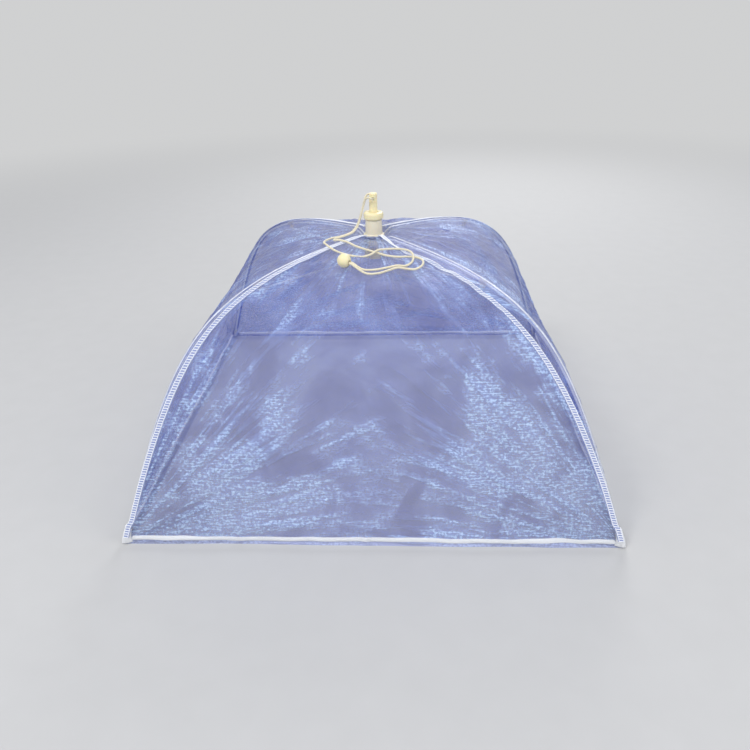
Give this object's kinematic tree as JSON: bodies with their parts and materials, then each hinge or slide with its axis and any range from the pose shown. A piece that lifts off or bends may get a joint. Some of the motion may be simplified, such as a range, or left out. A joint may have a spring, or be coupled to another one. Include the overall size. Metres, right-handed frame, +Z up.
{
  "type": "mesh food cover umbrella",
  "caption": "Square pop-up food cover: bent wire ribs under a sewn see-through mesh canopy, pulled open by a cord on a sliding plunger and folded like an umbrella.",
  "frame": {"origin": "middle of the square hem, on the surface that the cover stands on", "axes": "+Z up along the post, -Y towards the front panel, +X to its right"},
  "size_m": [0.404, 0.404, 0.2328],
  "materials": {
    "milky_plastic": "milky translucent moulding",
    "ivory_plastic": "ivory moulding, slightly glossy",
    "bright_wire": "drawn bright wire",
    "white_coated_wire": "white coated spring wire",
    "blue_mesh": "see-through organza mesh with a sheen",
    "white_overlock": "white overlock stitching",
    "white_ribbon": "matte white ribbon",
    "cream_cord": "braided cream cord"
  },
  "bodies": {
    "cover": {"collar": "milky_plastic", "collar_rim": "ivory_plastic", "rib_hub": "milky_plastic", "rib_hub_cap": "milky_plastic", "rib_ring": "bright_wire", "mesh_front": "blue_mesh", "mesh_right": "blue_mesh", "mesh_back": "blue_mesh", "mesh_left": "blue_mesh", "seam_front_left": "white_overlock", "seam_front_right": "white_overlock", "seam_back_right": "white_overlock", "seam_back_left": "white_overlock", "hem_front": "white_ribbon", "hem_right": "white_ribbon", "hem_back": "white_ribbon", "hem_left": "white_ribbon", "corner_pocket_front_left": "white_ribbon", "corner_pocket_front_right": "white_ribbon", "corner_pocket_back_right": "white_ribbon", "corner_pocket_back_left": "white_ribbon", "cord_far": "cream_cord", "cord_near": "cream_cord", "cord_bead": "ivory_plastic"},
    "plunger": {"plunger": "ivory_plastic", "runner": "ivory_plastic"},
    "rib_front_left": {"rib_front_left": "white_coated_wire", "rib_tip_front_left": "milky_plastic", "rib_clip_front_left": "milky_plastic"},
    "stretcher_front_left": {"stretcher_front_left": "bright_wire"},
    "rib_front_right": {"rib_front_right": "white_coated_wire", "rib_tip_front_right": "milky_plastic", "rib_clip_front_right": "milky_plastic"},
    "stretcher_front_right": {"stretcher_front_right": "bright_wire"},
    "rib_back_right": {"rib_back_right": "white_coated_wire", "rib_tip_back_right": "milky_plastic", "rib_clip_back_right": "milky_plastic"},
    "stretcher_back_right": {"stretcher_back_right": "bright_wire"},
    "rib_back_left": {"rib_back_left": "white_coated_wire", "rib_tip_back_left": "milky_plastic", "rib_clip_back_left": "milky_plastic"},
    "stretcher_back_left": {"stretcher_back_left": "bright_wire"}
  },
  "joints": [
    {"name": "plunger_slide", "type": "slide", "parent": "cover", "child": "plunger", "axis": [0, 0, -1], "range_m": [0, 0.1959]},
    {"name": "rib_hinge_front_left", "type": "hinge", "parent": "cover", "child": "rib_front_left", "pos_m": [-0.00537, -0.00537, 0.1886], "axis": [0.7071, -0.7071, 0], "range_deg": [0, 53]},
    {"name": "stretcher_hinge_front_left", "type": "hinge", "parent": "rib_front_left", "child": "stretcher_front_left", "pos_m": [-0.09115, -0.09115, 0.17708], "axis": [-0.7071, 0.7071, 0], "range_deg": [0, 111]},
    {"name": "rib_hinge_front_right", "type": "hinge", "parent": "cover", "child": "rib_front_right", "pos_m": [0.00537, -0.00537, 0.1886], "axis": [0.7071, 0.7071, 0], "range_deg": [0, 53]},
    {"name": "stretcher_hinge_front_right", "type": "hinge", "parent": "rib_front_right", "child": "stretcher_front_right", "pos_m": [0.09115, -0.09115, 0.17708], "axis": [-0.7071, -0.7071, 0], "range_deg": [0, 111]},
    {"name": "rib_hinge_back_right", "type": "hinge", "parent": "cover", "child": "rib_back_right", "pos_m": [0.00537, 0.00537, 0.1886], "axis": [-0.7071, 0.7071, 0], "range_deg": [0, 53]},
    {"name": "stretcher_hinge_back_right", "type": "hinge", "parent": "rib_back_right", "child": "stretcher_back_right", "pos_m": [0.09115, 0.09115, 0.17708], "axis": [0.7071, -0.7071, 0], "range_deg": [0, 111]},
    {"name": "rib_hinge_back_left", "type": "hinge", "parent": "cover", "child": "rib_back_left", "pos_m": [-0.00537, 0.00537, 0.1886], "axis": [-0.7071, -0.7071, 0], "range_deg": [0, 53]},
    {"name": "stretcher_hinge_back_left", "type": "hinge", "parent": "rib_back_left", "child": "stretcher_back_left", "pos_m": [-0.09115, 0.09115, 0.17708], "axis": [0.7071, 0.7071, 0], "range_deg": [0, 111]}
  ],
  "couplings": [
    {"joint": "rib_hinge_front_left", "follows": "plunger_slide", "rad_per_m": 4.721},
    {"joint": "stretcher_hinge_front_left", "follows": "plunger_slide", "rad_per_m": 9.8846},
    {"joint": "rib_hinge_front_right", "follows": "plunger_slide", "rad_per_m": 4.721},
    {"joint": "stretcher_hinge_front_right", "follows": "plunger_slide", "rad_per_m": 9.8846},
    {"joint": "rib_hinge_back_right", "follows": "plunger_slide", "rad_per_m": 4.721},
    {"joint": "stretcher_hinge_back_right", "follows": "plunger_slide", "rad_per_m": 9.8846},
    {"joint": "rib_hinge_back_left", "follows": "plunger_slide", "rad_per_m": 4.721},
    {"joint": "stretcher_hinge_back_left", "follows": "plunger_slide", "rad_per_m": 9.8846}
  ]
}
